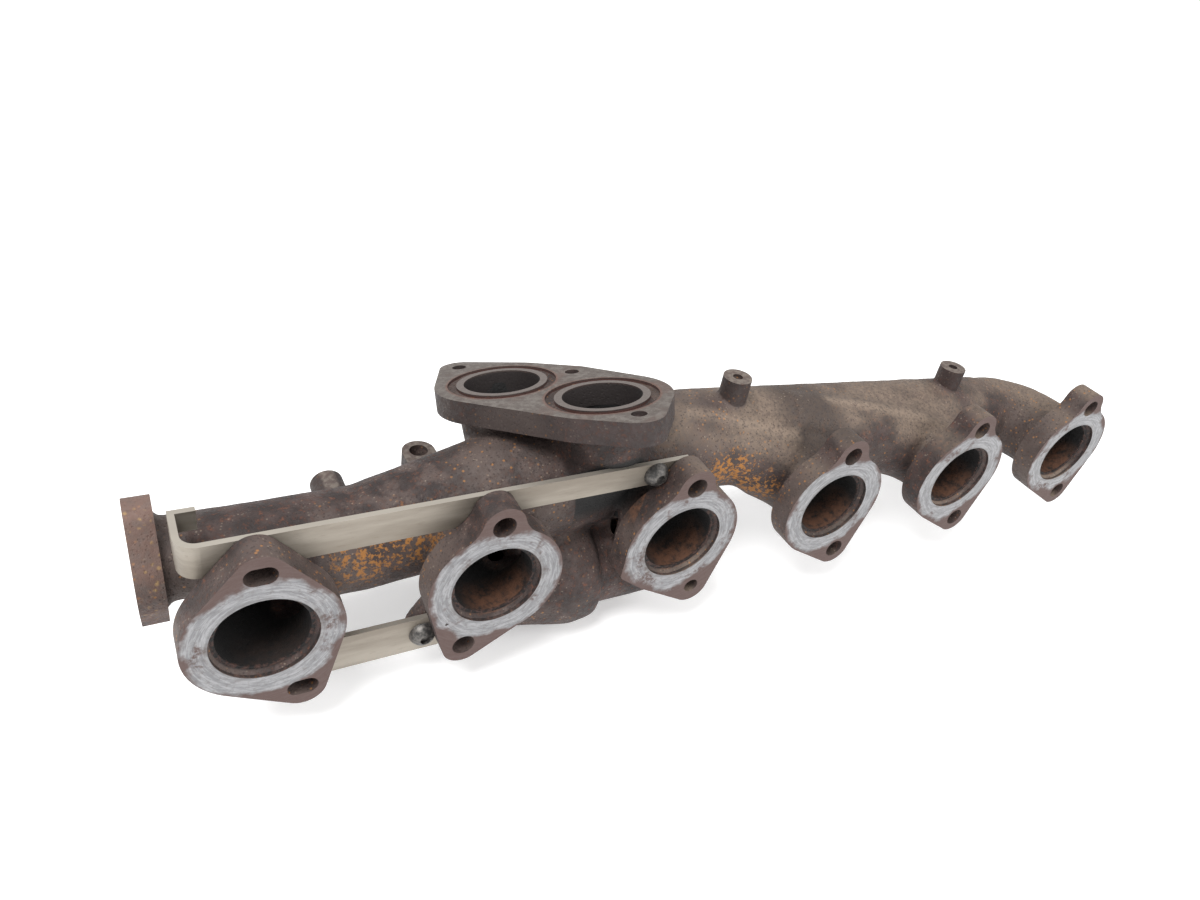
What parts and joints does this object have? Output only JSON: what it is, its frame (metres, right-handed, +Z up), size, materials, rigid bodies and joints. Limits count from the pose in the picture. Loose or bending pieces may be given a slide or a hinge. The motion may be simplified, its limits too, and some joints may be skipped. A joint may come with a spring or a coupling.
{
  "type": "exhaust manifold",
  "caption": "Rusty cast-iron exhaust manifold: a row of port flanges, runners into a side log, a raised twin-outlet turbo flange, an EGR end flange and sheet brackets.",
  "frame": {"origin": "centre of port 1 on the gasket plane", "axes": "+X along the row of ports from port 1 to port 6, +Y away from the cylinder head, +Z up towards the turbo flange"},
  "size_m": [0.5238, 0.1286, 0.134],
  "materials": {
    "cast_iron": "rusted, with machined faces",
    "bracket_sheet": "satin, dulled by heat",
    "fastener_steel": "dark, oiled"
  },
  "bodies": {
    "root": {"collector": "cast_iron", "egr_flange": "cast_iron", "egr_neck": "cast_iron", "log_left": "cast_iron", "log_right": "cast_iron", "lower_chamber": "cast_iron", "lower_pad": "cast_iron", "port_flange_1": "cast_iron", "port_flange_2": "cast_iron", "port_flange_3": "cast_iron", "port_flange_4": "cast_iron", "port_flange_5": "cast_iron", "port_flange_6": "cast_iron", "rear_boss": "cast_iron", "rear_lug": "cast_iron", "runner_1": "cast_iron", "runner_2": "cast_iron", "runner_3": "cast_iron", "runner_4": "cast_iron", "runner_5": "cast_iron", "runner_6": "cast_iron", "top_boss_left": "cast_iron", "top_boss_right": "cast_iron", "turbo_flange": "cast_iron", "turbo_neck_left": "cast_iron", "turbo_neck_right": "cast_iron", "upper_pad": "cast_iron", "upper_bracket": "bracket_sheet", "lower_bracket": "bracket_sheet", "bracket_bolts": "fastener_steel", "rear_plug": "fastener_steel"}
  },
  "joints": []
}
